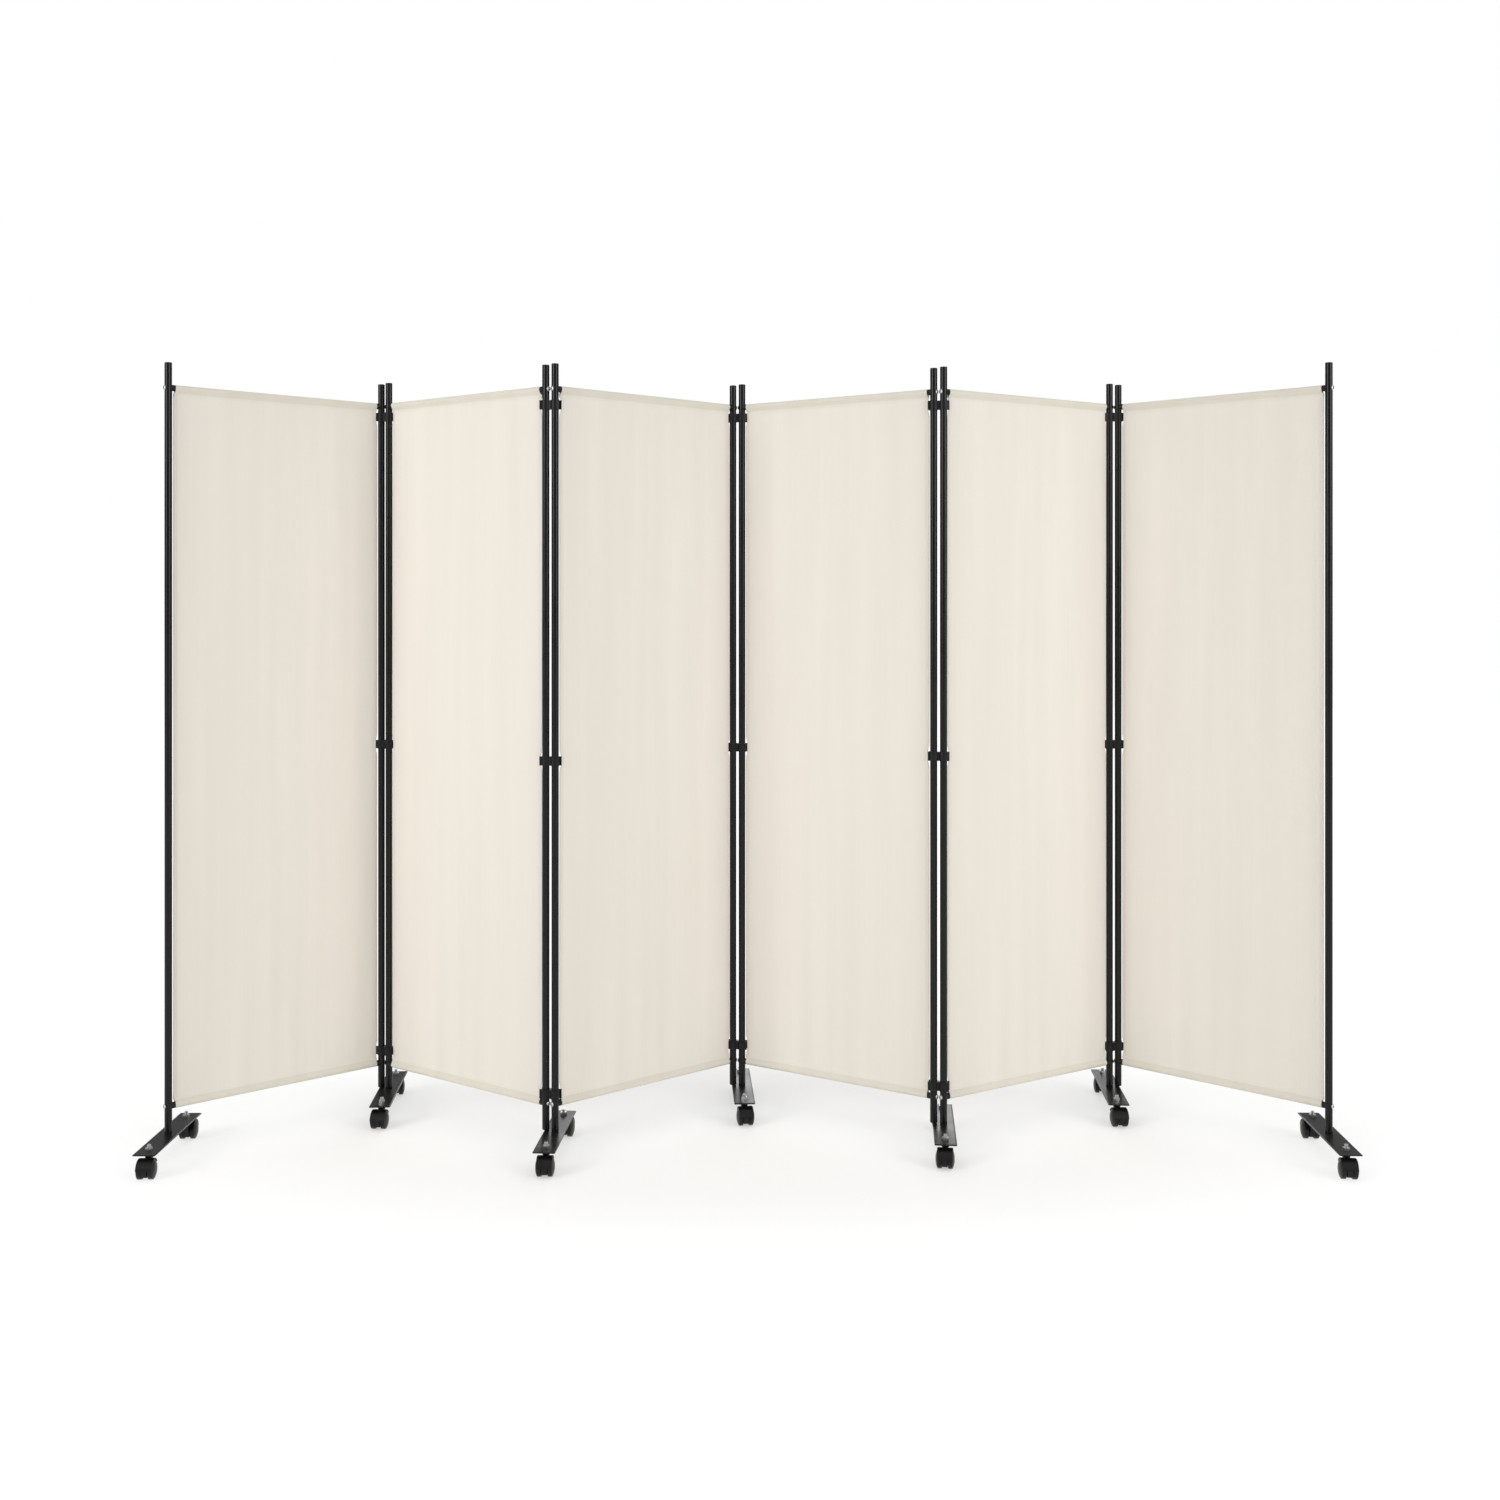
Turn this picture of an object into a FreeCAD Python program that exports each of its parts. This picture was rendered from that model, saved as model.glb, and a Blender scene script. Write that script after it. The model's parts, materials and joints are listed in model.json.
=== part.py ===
import FreeCAD, Part
import math
import os

# A folding divider of six cloth screens: steel posts and rails, snap clips between the posts,
# and seven flat feet on twin-wheel casters. X runs along the divider, Y away from its front,
# Z up, with the floor at zero and the origin under the middle of the assembly.

# Driving dimensions of the whole divider
overall_height = 1735.0
panel_width = 508.0  # between the axes of a panel's two posts
cloth_height = 1581.0
cloth_drop = 48.0  # from the top of a post down to the cloth

# How the divider stands: the turn of each panel and each clip, left to right, seen from above
panel_turns = (40.2, -35.7, 40.5, -32.6, 32.1, -41.4)
clip_turns = (-24.0, -16.0, -10.0, -14.0, 10.0)

# Each foot stands under one post: its panel, which of the two posts, and its turn from square
foot_posts = ((1, "left"), (2, "left"), (3, "left"), (4, "left"), (5, "left"), (5, "right"), (6, "right"))
foot_turns = (-0.3, 4.1, -3.0, 3.0, -5.0, -3.9, -1.6)
front_caster_turns = (4.0, -7.0, 3.0, 6.0, -4.0, 8.0, -6.0)
back_caster_turns = (5.0, 6.0, -4.0, -8.0, 7.0, -5.0, -2.0)

# Posts
post_radius = 8.0
post_wall = 1.2
post_split_share = 0.5  # where the lower tube meets the upper one
coupler_length = 90.0
coupler_wall = 1.5
cap_flange = 2.0
cap_rounding = 1.2
cap_plug_length = 14.0
insert_length = 25.0
insert_clearance = 0.05
hanging_lift = 1.0  # a post without a foot ends this far above the plates
hanging_drop = 2.0  # and its top this far below the other posts

# Rails, their end plugs and their bolts
rail_radius = 6.0
rail_wall = 1.0
rail_end_radius = 6.8
rail_end_length = 6.0
rail_spigot_length = 22.0
rail_spigot_clearance = 0.05
bolt_radius = 3.0
bolt_hole_clearance = 0.1
bolt_reach = 12.0  # how far a bolt goes into the rail
bolt_head_radius = 5.4
bolt_head_height = 2.4
bolt_head_rim = 0.6
bolt_shoulder_share = 2 / 3  # of the head's radius, where its dome turns down
bolt_crown_share = 1 / 3  # of the head's radius, its flat top
socket_width = 4.0
socket_depth = 1.2

# Cloth with a sleeve round each rail
cloth_thickness = 1.0
cloth_side_gap = 7.0  # from a post's surface to the cloth
sleeve_clearance = 0.3
sleeve_wall = 0.7
seam_drop = 13.0  # from a rail's axis to the seam that closes its sleeve

# Snap clips
post_pitch = 22.0
clip_height = 20.0
clip_wall = 2.2
clip_clearance = 0.05
clip_web_width = 11.0
clip_mouth_turn = 40.0
clip_lip_turn = 12.0
clip_lip_length = 5.4
clip_lip_thickness = 1.6
low_clip_rise = 37.0  # from the cloth's lower edge
high_clip_drop = 35.0  # from the cloth's upper edge
middle_clip_share = 0.4825
clip_slip_shares = ((0.0, 0.25, 0.15), (-0.45, -0.25, -0.35), (0.4, -0.2, 0.15), (-0.3, 0.05, -0.1),
                    (0.35, 0.2, 0.2))  # of a clip's height, how far each clip has slipped up its posts

# Feet
plate_length = 278.0
plate_width = 48.0
plate_thickness = 3.0
plate_corner = 2.5
stem_inset = 31.0  # from a plate's end to the caster stem
foot_screw_radius = 4.0
foot_screw_clearance = 0.06
foot_screw_head_radius = 7.5
foot_screw_head_height = 3.5
foot_screw_reach = 18.0
foot_screw_socket_width = 5.0

# Casters
wheel_radius = 20.0
wheel_inner_face = 6.7  # from the middle of the caster
wheel_outer_face = 20.4
wheel_tread_edge = 16.4
wheel_dome_share = 0.62  # of the wheel's radius, a point on its domed face
wheel_dome_drop_share = 1 / 3  # and how far the dome has dropped there
wheel_shoulder = 0.9
caster_trail = 18.0
hood_height = 46.0
hood_web_width = 12.4
hood_web_radius = 21.2
hood_floor_gap = 8.0
hood_boss_radius = 8.2
hood_boss_height = 5.5
crown_width = 34.0
crown_gap = 0.8  # between the wheels and the crown over them
crown_thickness = 2.2
crown_rounding = 1.6
crown_start_turn = 8.0
crown_end_turn = 148.0
neck_length = 5.0
neck_radius = 4.7
stem_radius = 4.0
stem_clearance = 0.05
stem_reach = 18.0
stem_head = 13.0  # how far the stem stands above the plate
stem_tip_chamfer = 0.8
nut_width = 13.0
nut_height = 6.5
nut_chamfer = 0.7
axle_radius = 3.0
axle_half_length = 15.0
axle_clearance = 0.05
axle_seat_clearance = 0.02  # round the axle in its wheels, which it holds by its ends
cut_overrun = 1.0

# Heights and widths that follow from these sizes
plate_bottom = hood_height + neck_length
plate_top = plate_bottom + plate_thickness
cloth_top = overall_height - cloth_drop
cloth_bottom = cloth_top - cloth_height
sleeve_radius = rail_radius + sleeve_clearance + sleeve_wall
rail_heights = (cloth_bottom + sleeve_radius, cloth_top - sleeve_radius)
rail_start = post_radius + rail_end_length
cloth_start = post_radius + cloth_side_gap
clip_middles = (cloth_bottom + low_clip_rise, cloth_bottom + cloth_height * middle_clip_share,
                cloth_top - high_clip_drop)
stem_offset = plate_length / 2 - stem_inset

UP = FreeCAD.Vector(0, 0, 1)
ALONG = FreeCAD.Vector(1, 0, 0)
ACROSS = FreeCAD.Vector(0, 1, 0)
ORIGIN = FreeCAD.Vector(0, 0, 0)


def at(x, y, z):
    return FreeCAD.Vector(x, y, z)


def rod(radius, start, direction, length):
    return Part.makeCylinder(radius, length, start, direction)


def tube(outer, inner, start, direction, length):
    return rod(outer, start, direction, length).cut(rod(inner, start, direction, length))


def block(x0, x1, y0, y1, z0, z1):
    return Part.makeBox(x1 - x0, y1 - y0, z1 - z0, at(x0, y0, z0))


def turned(shape, degrees, centre=ORIGIN, axis=UP):
    moved = shape.copy()
    moved.rotate(centre, axis, degrees)
    return moved


def shifted(shape, vector):
    moved = shape.copy()
    moved.translate(vector)
    return moved


def spun(points, axis):
    """A solid of revolution about a line through the origin, from an outline of lines and arcs."""
    edges = []
    for point in points:
        edges.append(Part.LineSegment(*point).toShape() if len(point) == 2 else Part.Arc(*point).toShape())
    return Part.Face(Part.Wire(edges)).revolve(ORIGIN, axis, 360)


def hexagon(across_flats, start, direction, length):
    """A hexagonal prism that stands on its start point along the direction."""
    corner = across_flats / math.sqrt(3)
    around = FreeCAD.Rotation(UP, direction)
    corners = []
    for i in range(7):
        turn = math.radians(60 * i)
        corners.append(around.multVec(at(corner * math.cos(turn), corner * math.sin(turn), 0)).add(start))
    return Part.Face(Part.makePolygon(corners)).extrude(direction * length)


# Posts: two tubes on an inner coupler, a cap on top, and an insert or a plug below
def end_cap(height, direction):
    """A round plastic cap whose flange closes the tube; height is where its flat top lies."""
    inner = post_radius - post_wall - insert_clearance
    top = at(0, 0, height)
    flange = rod(post_radius, top, direction * -1, cap_flange)
    rim = [e for e in flange.Edges if abs(e.BoundBox.Center.z - height) < cap_rounding / 2 and e.Closed]
    flange = flange.makeFillet(cap_rounding, rim)
    return flange.fuse(rod(inner, top, direction * -1, cap_flange + cap_plug_length))


def foot_screw():
    """The screw that holds a plate under a post, its head below the plate."""
    head = rod(foot_screw_head_radius, at(0, 0, plate_bottom), UP * -1, foot_screw_head_height)
    shank = rod(foot_screw_radius, at(0, 0, plate_bottom), UP, plate_thickness + foot_screw_reach)
    socket_start = at(0, 0, plate_bottom - foot_screw_head_height)
    return head.fuse(shank).cut(hexagon(foot_screw_socket_width, socket_start, UP, foot_screw_head_height / 2))


def post(has_foot, side):
    """One post on the local Z axis. The side is 1 where its panel lies towards +X, else -1."""
    inner = post_radius - post_wall
    bottom = plate_top if has_foot else plate_top + hanging_lift + cap_flange
    top = overall_height - cap_flange - (0 if has_foot else hanging_drop)
    split = plate_top + (overall_height - plate_top) * post_split_share
    lower = tube(post_radius, inner, at(0, 0, bottom), UP, split - bottom)
    upper = tube(post_radius, inner, at(0, 0, split), UP, top - split)
    for height in rail_heights:
        hole = rod(bolt_radius + bolt_hole_clearance, at(-post_radius - cut_overrun, 0, height), ALONG,
                   2 * (post_radius + cut_overrun))
        lower = lower.cut(hole)
        upper = upper.cut(hole)
    coupler_radius = inner - insert_clearance
    coupler = tube(coupler_radius, coupler_radius - coupler_wall, at(0, 0, split - coupler_length / 2), UP,
                   coupler_length)
    pieces = [lower, upper, coupler, end_cap(top + cap_flange, UP)]
    if has_foot:
        bush = tube(inner - insert_clearance, foot_screw_radius, at(0, 0, bottom), UP, insert_length)
        pieces += [bush, foot_screw()]
    else:
        pieces.append(end_cap(bottom - cap_flange, UP * -1))
    return pieces


def panel_posts(number):
    feet = [side for panel, side in foot_posts if panel == number]
    right = [shifted(piece, at(panel_width, 0, 0)) for piece in post("right" in feet, -1)]
    return post("left" in feet, 1) + right


# Rails: a tube on two saddle plugs, each held to its post by a bolt through the post
def rail_end(height):
    """The plug at a rail's left end, hollowed to sit on the round post."""
    flange = rod(rail_end_radius, at(0, 0, height), ALONG, rail_start)
    spigot_radius = rail_radius - rail_wall - rail_spigot_clearance
    spigot = rod(spigot_radius, at(0, 0, height), ALONG, rail_start + rail_spigot_length)
    saddle = rod(post_radius, at(0, 0, height - 2 * rail_end_radius), UP, 4 * rail_end_radius)
    bore = rod(bolt_radius, at(0, 0, height), ALONG, rail_start + bolt_reach)
    return flange.fuse(spigot).cut(saddle).cut(bore)


def rail_bolt(height):
    """A bolt with a low domed head on the post's outer side and a hexagonal socket."""
    face = -post_radius
    rim = face - bolt_head_rim
    crown = face - bolt_head_height
    middle = at(rim + (crown - rim) * bolt_shoulder_share, 0, bolt_head_radius * bolt_shoulder_share)
    top = bolt_head_radius * bolt_crown_share
    head = spun([(at(face, 0, 0), at(face, 0, bolt_head_radius)),
                 (at(face, 0, bolt_head_radius), at(rim, 0, bolt_head_radius)),
                 (at(rim, 0, bolt_head_radius), middle, at(crown, 0, top)),
                 (at(crown, 0, top), at(crown, 0, 0)),
                 (at(crown, 0, 0), at(face, 0, 0))], ALONG)
    shank = rod(bolt_radius, at(face, 0, 0), ALONG, post_radius + rail_start + bolt_reach)
    socket = hexagon(socket_width, at(crown, 0, 0), ALONG, socket_depth)
    return shifted(head.fuse(shank).cut(socket), at(0, 0, height))


def panel_rails():
    pieces = []
    middle = at(panel_width / 2, 0, 0)
    for height in rail_heights:
        pieces.append(tube(rail_radius, rail_radius - rail_wall, at(rail_start, 0, height), ALONG,
                           panel_width - 2 * rail_start))
        for piece in (rail_end(height), rail_bolt(height)):
            pieces += [piece, turned(piece, 180, middle)]
    return pieces


# Cloth: one flat sheet, closed round each rail in a sleeve that narrows to its seam
def panel_cloth():
    half = cloth_thickness / 2
    low, high = rail_heights
    reach = math.hypot(half, seam_drop)
    lean = math.acos(sleeve_radius / reach) - math.atan2(seam_drop, half)
    side = sleeve_radius * math.cos(lean)
    rise = sleeve_radius * math.sin(lean)
    x = cloth_start

    def edge_of(rail, way):
        """The outline round one rail, from the right seam over the rail to the left seam."""
        seam = rail - way * seam_drop
        near = rail + way * rise
        far = rail + way * sleeve_radius
        return [Part.LineSegment(at(x, way * half, seam), at(x, way * side, near)).toShape(),
                Part.Arc(at(x, way * side, near), at(x, 0, far), at(x, -way * side, near)).toShape(),
                Part.LineSegment(at(x, -way * side, near), at(x, -way * half, seam)).toShape()]

    left = Part.LineSegment(at(x, -half, high - seam_drop), at(x, -half, low + seam_drop)).toShape()
    right = Part.LineSegment(at(x, half, low + seam_drop), at(x, half, high - seam_drop)).toShape()
    outline = Part.Wire(edge_of(high, 1) + [left] + edge_of(low, -1) + [right])
    width = panel_width - 2 * cloth_start
    sheet = Part.Face(outline).extrude(ALONG * width)
    for rail in rail_heights:
        sheet = sheet.cut(rod(rail_radius + sleeve_clearance, at(x - cut_overrun, 0, rail), ALONG,
                              width + 2 * cut_overrun))
    return [sheet]


# Clips: two open rings on a web, with flared lips where the posts snap in
def clip():
    bore = post_radius + clip_clearance
    ring = bore + clip_wall
    reach = ring + clip_lip_length
    half = post_pitch / 2
    body = block(-half, half, -clip_web_width / 2, clip_web_width / 2, 0, clip_height)
    for way in (-1, 1):
        body = body.fuse(rod(ring, at(way * half, 0, 0), UP, clip_height))
    mouth = math.radians(clip_mouth_turn)
    middle = bore + clip_wall / 2
    for way in (-1, 1):
        centre = at(way * half, 0, 0)
        wide = way * reach * math.cos(mouth)
        wedge = Part.makePolygon([centre, centre + at(wide, reach * math.sin(mouth), 0),
                                  centre + at(wide, -reach * math.sin(mouth), 0), centre])
        body = body.cut(Part.Face(wedge).extrude(UP * clip_height))
        for hand in (-1, 1):
            lip = block(0, clip_lip_length, -clip_lip_thickness / 2, clip_lip_thickness / 2, 0, clip_height)
            lip = turned(lip, clip_lip_turn * hand)
            lip = shifted(lip, at(middle * math.cos(mouth), hand * middle * math.sin(mouth), 0))
            if way < 0:
                lip = turned(lip, 180)
            body = body.fuse(shifted(lip, centre))
        body = body.cut(rod(bore, centre, UP, clip_height))
    return body.removeSplitter()


def clip_set(number):
    pieces = []
    for middle, slip in zip(clip_middles, clip_slip_shares[number - 1]):
        pieces.append(shifted(clip(), at(0, 0, middle + (slip - 0.5) * clip_height)))
    return pieces


# Feet: a flat steel bar with the caster stems and their nuts
def caster_nut():
    """A hexagonal nut with its upper corners turned off, on a plate's top face."""
    body = hexagon(nut_width, at(0, 0, plate_top), UP, nut_height)
    widest = nut_width / math.sqrt(3)
    cone = Part.makeCone(widest + nut_height - nut_chamfer, widest - nut_chamfer, nut_height,
                         at(0, 0, plate_top), UP)
    return body.common(cone).cut(rod(stem_radius, at(0, 0, plate_top), UP, nut_height))


def caster_stem():
    """The threaded stem: a pin in the hood, a neck under the plate and a thread above it."""
    thread = rod(stem_radius, at(0, 0, plate_bottom), UP, plate_thickness + stem_head - stem_tip_chamfer)
    tip = Part.makeCone(stem_radius, stem_radius - stem_tip_chamfer, stem_tip_chamfer,
                        at(0, 0, plate_top + stem_head - stem_tip_chamfer), UP)
    neck = rod(neck_radius, at(0, 0, hood_height), UP, neck_length)
    pin = rod(stem_radius, at(0, 0, hood_height - stem_reach), UP, stem_reach)
    return thread.fuse(tip).fuse(neck).fuse(pin)


def foot_plate():
    half_length = plate_length / 2
    half_width = plate_width / 2
    plate = block(-half_width, half_width, -half_length, half_length, plate_bottom, plate_top)
    corners = [e for e in plate.Edges if abs(e.tangentAt(e.FirstParameter).z) > 0.9]
    plate = plate.makeFillet(plate_corner, corners)
    screw_hole = rod(foot_screw_radius + foot_screw_clearance, at(0, 0, plate_bottom), UP, plate_thickness)
    plate = plate.cut(screw_hole)
    pieces = []
    for way in (-1, 1):
        place = at(0, way * stem_offset, 0)
        plate = plate.cut(shifted(rod(stem_radius, at(0, 0, plate_bottom), UP, plate_thickness), place))
        pieces += [shifted(caster_stem(), place), shifted(caster_nut(), place)]
    return [plate] + pieces


# Casters: the stem stands on the local Z axis and the axle lies behind it along Y
axle_line = at(caster_trail, 0, wheel_radius)


def caster_crown():
    """The shell over both wheels, a ring about the axle with its outer corners rounded, cut to its arc."""
    inner = wheel_radius + crown_gap
    outer = inner + crown_thickness
    side = crown_width / 2
    flat = outer - crown_rounding
    edge = side - crown_rounding
    slant = crown_rounding * math.sqrt(0.5)
    ring = spun([(at(inner, -side, 0), at(flat, -side, 0)),
                 (at(flat, -side, 0), at(flat + slant, -edge - slant, 0), at(outer, -edge, 0)),
                 (at(outer, -edge, 0), at(outer, edge, 0)),
                 (at(outer, edge, 0), at(flat + slant, edge + slant, 0), at(flat, side, 0)),
                 (at(flat, side, 0), at(inner, side, 0)),
                 (at(inner, side, 0), at(inner, -side, 0))], ACROSS)
    reach = 2 * inner
    start = math.radians(crown_start_turn)
    end = math.radians(crown_end_turn)
    lid = Part.makePolygon([ORIGIN, at(reach * math.cos(start), 0, reach * math.sin(start)),
                            at(reach, 0, reach), at(0, 0, reach),
                            at(reach * math.cos(end), 0, reach * math.sin(end)), ORIGIN])
    lid = shifted(Part.Face(lid).extrude(ACROSS * crown_width), at(0, -side, 0))
    return shifted(ring.common(lid), axle_line)


def caster_hood():
    half = hood_web_width / 2
    disc = rod(hood_web_radius, axle_line + at(0, -half, 0), ACROSS, hood_web_width)
    shoulder = block(-hood_boss_radius, caster_trail, -half, half, wheel_radius, hood_height - hood_boss_height)
    boss = rod(hood_boss_radius, at(0, 0, hood_height), UP * -1, hood_boss_height)
    hood = disc.fuse(shoulder).fuse(boss).fuse(caster_crown())
    low = block(-2 * wheel_radius, 3 * wheel_radius, -crown_width, crown_width, -hood_floor_gap, hood_floor_gap)
    hood = hood.cut(low)
    socket = rod(stem_radius + stem_clearance, at(0, 0, hood_height), UP * -1, stem_reach + stem_clearance)
    hood = hood.cut(socket)
    bore = rod(axle_radius + axle_clearance, axle_line + at(0, -half - cut_overrun, 0), ACROSS,
               hood_web_width + 2 * cut_overrun)
    return hood.cut(bore).removeSplitter()


def caster_wheels():
    """Two wheels with domed outer faces, pressed on one axle."""
    tread = wheel_tread_edge - wheel_shoulder
    drop = (wheel_outer_face - wheel_tread_edge) * wheel_dome_drop_share
    dome = at(wheel_radius * wheel_dome_share, wheel_outer_face - drop, 0)
    rim = at(wheel_radius - wheel_shoulder, wheel_tread_edge, 0)
    inner = wheel_inner_face + wheel_shoulder
    outline = [(at(0, wheel_inner_face, 0), at(0, wheel_outer_face, 0)),
               (at(0, wheel_outer_face, 0), dome, rim),
               (rim, at(wheel_radius, tread, 0)),
               (at(wheel_radius, tread, 0), at(wheel_radius, inner, 0)),
               (at(wheel_radius, inner, 0), at(wheel_radius - wheel_shoulder, wheel_inner_face, 0)),
               (at(wheel_radius - wheel_shoulder, wheel_inner_face, 0), at(0, wheel_inner_face, 0))]
    axle = rod(axle_radius, at(0, -axle_half_length, 0), ACROSS, 2 * axle_half_length)
    seat = rod(axle_radius + axle_seat_clearance, at(0, -axle_half_length, 0), ACROSS, 2 * axle_half_length)
    wheel = spun(outline, ACROSS).cut(seat)
    pieces = [wheel, turned(wheel, 180), axle]
    return [shifted(piece, axle_line) for piece in pieces]


# Where each panel, clip set and foot stands, before the assembly is centred
def layout():
    panels = []
    clips = []
    place = ORIGIN
    for i, turn in enumerate(panel_turns):
        panels.append((place, turn))
        way = FreeCAD.Rotation(UP, turn)
        place = place + way.multVec(ALONG * panel_width)
        if i < len(clip_turns):
            step = FreeCAD.Rotation(UP, clip_turns[i]).multVec(ALONG * post_pitch)
            clips.append((place + step * 0.5, clip_turns[i]))
            place = place + step
    feet = []
    for (panel, side), turn in zip(foot_posts, foot_turns):
        start, lie = panels[panel - 1]
        along = panel_width if side == "right" else 0
        feet.append((start + FreeCAD.Rotation(UP, lie).multVec(ALONG * along), turn))
    return panels, clips, feet


def put(pieces, place, turn):
    return [shifted(turned(piece, turn), place) for piece in pieces]


def casters(number, place, turn):
    """The two casters of one foot, each with its name, the place of its stem and its turn."""
    found = []
    turns = (front_caster_turns[number - 1], back_caster_turns[number - 1])
    for name, way, own in zip(("front", "back"), (-1, 1), turns):
        offset = FreeCAD.Rotation(UP, turn).multVec(at(0, way * stem_offset, 0))
        found.append((f"foot_{number}_{name}", place + offset, turn + 90 * way + own))
    return found


def assemble():
    nodes = {}
    panels, clips, feet = layout()
    for number, (place, turn) in enumerate(panels, 1):
        nodes[f"panel_{number}_posts"] = put(panel_posts(number), place, turn)
        nodes[f"panel_{number}_rails"] = put(panel_rails(), place, turn)
        nodes[f"panel_{number}_cloth"] = put(panel_cloth(), place, turn)
    for number, (place, turn) in enumerate(clips, 1):
        nodes[f"clips_{number}_{number + 1}"] = put(clip_set(number), place, turn)
    for number, (place, turn) in enumerate(feet, 1):
        nodes[f"foot_{number}_plate"] = put(foot_plate(), place, turn)
        for name, stem, lie in casters(number, place, turn):
            nodes[f"{name}_hood"] = put([caster_hood()], stem, lie)
            nodes[f"{name}_wheels"] = put(caster_wheels(), stem, lie)
    return nodes


def centring(nodes):
    """The step that brings the middle of the assembly's outline over the origin."""
    box = Part.makeCompound([piece for pieces in nodes.values() for piece in pieces]).BoundBox
    return at(-box.Center.x, -box.Center.y, 0)


nodes = assemble()
shift = centring(nodes)
os.makedirs("parts", exist_ok=True)
for name, pieces in nodes.items():
    Part.makeCompound([shifted(piece, shift) for piece in pieces]).exportStep(f"parts/{name}.step")
print(len(nodes), "nodes; shift", [round(v, 3) for v in shift])
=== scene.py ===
import json
import math

import bpy
from mathutils import Matrix, Vector

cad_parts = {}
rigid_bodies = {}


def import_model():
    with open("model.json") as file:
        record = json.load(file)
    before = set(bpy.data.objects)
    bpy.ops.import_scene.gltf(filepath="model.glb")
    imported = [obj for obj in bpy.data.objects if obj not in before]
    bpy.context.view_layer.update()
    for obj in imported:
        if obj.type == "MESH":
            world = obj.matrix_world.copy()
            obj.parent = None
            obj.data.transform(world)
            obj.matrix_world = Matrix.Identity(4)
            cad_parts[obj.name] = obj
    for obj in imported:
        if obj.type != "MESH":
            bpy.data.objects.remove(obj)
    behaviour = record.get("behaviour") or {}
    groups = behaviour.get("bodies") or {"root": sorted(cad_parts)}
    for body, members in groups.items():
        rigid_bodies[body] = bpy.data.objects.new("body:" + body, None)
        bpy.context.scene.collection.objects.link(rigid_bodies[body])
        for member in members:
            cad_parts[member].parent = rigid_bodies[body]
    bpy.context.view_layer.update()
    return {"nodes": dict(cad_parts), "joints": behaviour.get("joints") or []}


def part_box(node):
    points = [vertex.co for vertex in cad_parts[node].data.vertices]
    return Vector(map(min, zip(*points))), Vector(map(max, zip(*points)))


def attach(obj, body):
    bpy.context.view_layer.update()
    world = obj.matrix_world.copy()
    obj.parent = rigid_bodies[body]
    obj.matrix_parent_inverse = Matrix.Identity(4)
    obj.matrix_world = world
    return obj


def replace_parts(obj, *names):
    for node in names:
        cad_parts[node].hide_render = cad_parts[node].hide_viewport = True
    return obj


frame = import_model()
bpy.ops.object.select_all(action="DESELECT")

# Posts
# Twelve steel tubes of 16 mm, each in two lengths that meet at mid height, with a plastic cap pressed in the
# top. They are sprayed with black enamel and baked, which leaves a fine orange peel.
mm = 0.001
panel_numbers = range(1, 7)
post_radius = 8 * mm
tube_joint_height = 894.5 * mm
tube_joint_half = 0.45 * mm
tube_joint_shade = "#050505"
orange_peel = 2.08 * mm
orange_peel_depth = 0.02 * mm
handling_marks = 71.4 * mm


def colour(code):
    """The linear colour of an sRGB hex value."""
    shares = [int(code[i:i + 2], 16) / 255 for i in (1, 3, 5)]
    return tuple(s / 12.92 if s <= 0.04045 else ((s + 0.055) / 1.055) ** 2.4 for s in shares) + (1.0,)


def add(tree, kind, values=None, links=None, **settings):
    """One node in a material's tree, with its settings, its sockets' values and what feeds them."""
    made = tree.nodes.new("ShaderNode" + kind)
    for name, value in settings.items():
        setattr(made, name, value)
    for name, value in (values or {}).items():
        made.inputs[name].default_value = value
    for name, source in (links or {}).items():
        tree.links.new(source, made.inputs[name])
    return made


def empty_material(name):
    """A new material and its tree, which has no node yet."""
    made = bpy.data.materials.new(name)
    made.use_nodes = True
    made.node_tree.nodes.clear()
    return made, made.node_tree


def close_material(tree, values, links):
    """Ends a material with its surface shader and its output."""
    shader = add(tree, "BsdfPrincipled", values, links)
    add(tree, "OutputMaterial", links={"Surface": shader.outputs["BSDF"]})


def black_enamel(name, base, worn, roughness, joint_line):
    """Baked black enamel: an even coat with a shallow orange peel of about 2 mm and faint handling marks."""
    finish, tree = empty_material(name)
    place = add(tree, "TexCoord").outputs["Object"]
    peel = add(tree, "TexNoise", {"Scale": 1 / orange_peel, "Detail": 2.0}, {"Vector": place}).outputs["Fac"]
    marks = add(tree, "TexNoise", {"Scale": 1 / handling_marks, "Detail": 6.0, "Roughness": 0.65},
                {"Vector": place}).outputs["Fac"]
    rough = add(tree, "MapRange", {"From Min": 0.35, "From Max": 0.7, "To Min": roughness - 0.04,
                                   "To Max": roughness + 0.08}, {"Value": marks}).outputs["Result"]
    tone = add(tree, "ValToRGB", links={"Fac": marks})
    tone.color_ramp.elements[0].position = 0.42
    tone.color_ramp.elements[0].color = colour(base)
    tone.color_ramp.elements[1].position = 0.78
    tone.color_ramp.elements[1].color = colour(worn)
    shade = tone.outputs["Color"]
    if joint_line:
        height = add(tree, "SeparateXYZ", links={"Vector": place}).outputs["Z"]
        line = add(tree, "Math", {1: tube_joint_height, 2: tube_joint_half}, {0: height}, operation="COMPARE")
        shade = add(tree, "Mix", {"B": colour(tube_joint_shade)}, {"Factor": line.outputs["Value"], "A": shade},
                    data_type="RGBA")
        shade = shade.outputs[2]
    bump = add(tree, "Bump", {"Strength": 0.25, "Distance": orange_peel_depth},
               {"Height": peel}).outputs["Normal"]
    close_material(tree, {"IOR": 1.45, "Specular IOR Level": 0.3},
                   {"Base Color": shade, "Roughness": rough, "Normal": bump})
    return finish


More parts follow.
